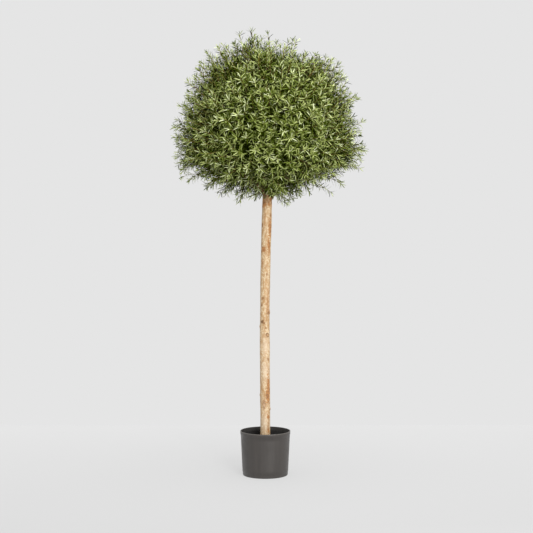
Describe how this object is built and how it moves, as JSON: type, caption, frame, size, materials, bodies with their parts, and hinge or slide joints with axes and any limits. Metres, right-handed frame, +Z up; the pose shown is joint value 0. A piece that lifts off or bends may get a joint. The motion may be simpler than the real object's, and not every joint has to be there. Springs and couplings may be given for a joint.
{
  "type": "artificial standard lollipop topiary in a pot",
  "caption": "Artificial lollipop topiary: a bare wooden pole in a filled nursery pot carries a dense rounded crown of narrow green leaves.",
  "frame": {"origin": "centre of the pot's flat underside, on the surface that the pot stands on", "axes": "+Z up along the pole, front towards -Y, +X to the right seen from the front"},
  "size_m": [0.6929, 0.6549, 1.507],
  "materials": {
    "pot_plastic": "satin",
    "pot_filler": "matte",
    "peeled_wood": "matte",
    "twig_bark": "matte",
    "foliage": "satin"
  },
  "bodies": {
    "root": {"pot": "pot_plastic", "pot_fill": "pot_filler", "trunk": "peeled_wood", "lower_bough_1": "twig_bark", "lower_bough_2": "twig_bark", "lower_bough_3": "twig_bark", "lower_bough_4": "twig_bark", "lower_bough_5": "twig_bark", "upper_bough_1": "twig_bark", "upper_bough_2": "twig_bark", "upper_bough_3": "twig_bark", "upper_bough_4": "twig_bark", "leader_bough": "twig_bark", "lower_foliage_1": "foliage", "lower_foliage_2": "foliage", "lower_foliage_3": "foliage", "lower_foliage_4": "foliage", "lower_foliage_5": "foliage", "upper_foliage_1": "foliage", "upper_foliage_2": "foliage", "upper_foliage_3": "foliage", "upper_foliage_4": "foliage", "top_foliage": "foliage"}
  },
  "joints": []
}
